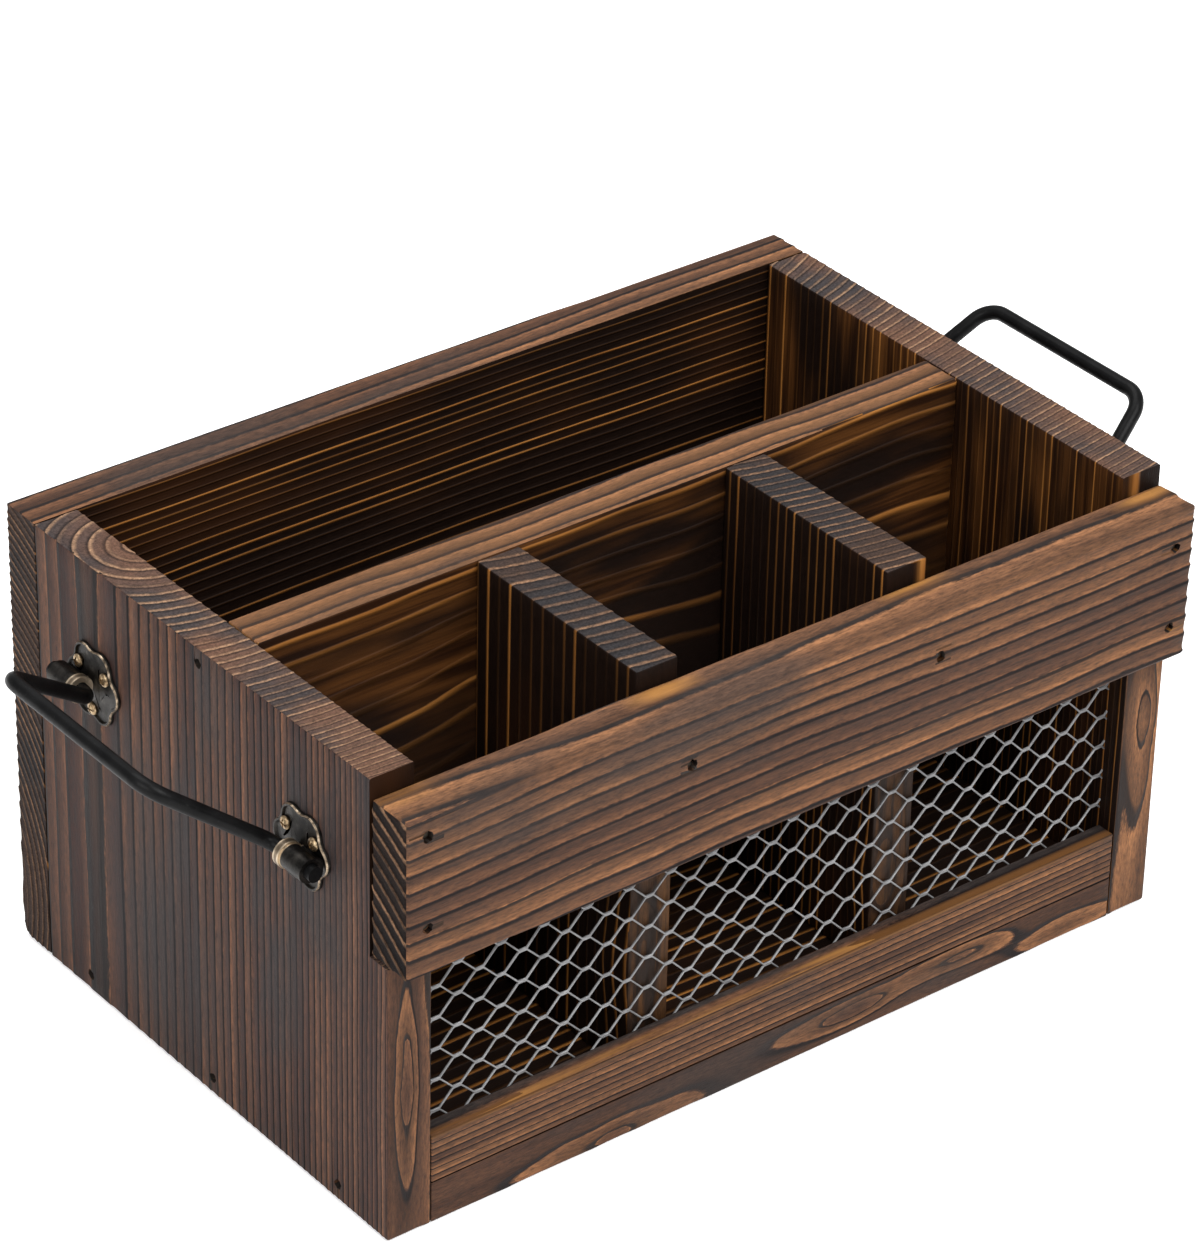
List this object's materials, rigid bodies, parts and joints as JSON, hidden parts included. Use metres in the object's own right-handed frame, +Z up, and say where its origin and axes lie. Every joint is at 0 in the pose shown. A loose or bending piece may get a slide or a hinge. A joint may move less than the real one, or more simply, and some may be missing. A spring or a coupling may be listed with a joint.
{
  "type": "utensil caddy",
  "caption": "Open wooden table caddy of charred boards with cutlery cells, a napkin compartment, a wire mesh front window and wire bail handles.",
  "frame": {"origin": "middle of the caddy's footprint, on the table", "axes": "+X to the right seen from the mesh front, +Y from the front to the back, +Z up"},
  "size_m": [0.2456, 0.13, 0.1],
  "materials": {
    "charred_wood": "torched and wire brushed, sealed matte",
    "nail_steel": "dark",
    "mesh_steel": "satin",
    "antique_bronze": "antiqued, worn bright at the rims",
    "screw_brass": "antiqued",
    "black_wire": "satin black"
  },
  "bodies": {
    "caddy": {"left_side_panel": "charred_wood", "right_side_panel": "charred_wood", "back_panel": "charred_wood", "floor_board": "charred_wood", "long_divider": "charred_wood", "left_short_divider": "charred_wood", "right_short_divider": "charred_wood", "front_rail": "charred_wood", "bottom_batten": "charred_wood", "mesh_panel": "mesh_steel", "rail_nails": "nail_steel", "left_side_nails": "nail_steel", "right_side_nails": "nail_steel", "back_nails": "nail_steel", "divider_nails": "nail_steel", "left_front_plate": "antique_bronze", "left_front_sleeve": "antique_bronze", "left_front_screws": "screw_brass", "left_rear_plate": "antique_bronze", "left_rear_sleeve": "antique_bronze", "left_rear_screws": "screw_brass", "right_front_plate": "antique_bronze", "right_front_sleeve": "antique_bronze", "right_front_screws": "screw_brass", "right_rear_plate": "antique_bronze", "right_rear_sleeve": "antique_bronze", "right_rear_screws": "screw_brass"},
    "left_handle": {"left_bail": "black_wire"},
    "right_handle": {"right_bail": "black_wire"}
  },
  "joints": [
    {"name": "left_bail_hinge", "type": "hinge", "parent": "caddy", "child": "left_handle", "pos_m": [-0.0987, 0.0007, 0.0746], "axis": [0, 1, 0], "range_deg": [-126.5, 53.5]},
    {"name": "right_bail_hinge", "type": "hinge", "parent": "caddy", "child": "right_handle", "pos_m": [0.0987, 0.0023, 0.0746], "axis": [0, -1, 0], "range_deg": [-126.5, 53.5]}
  ]
}
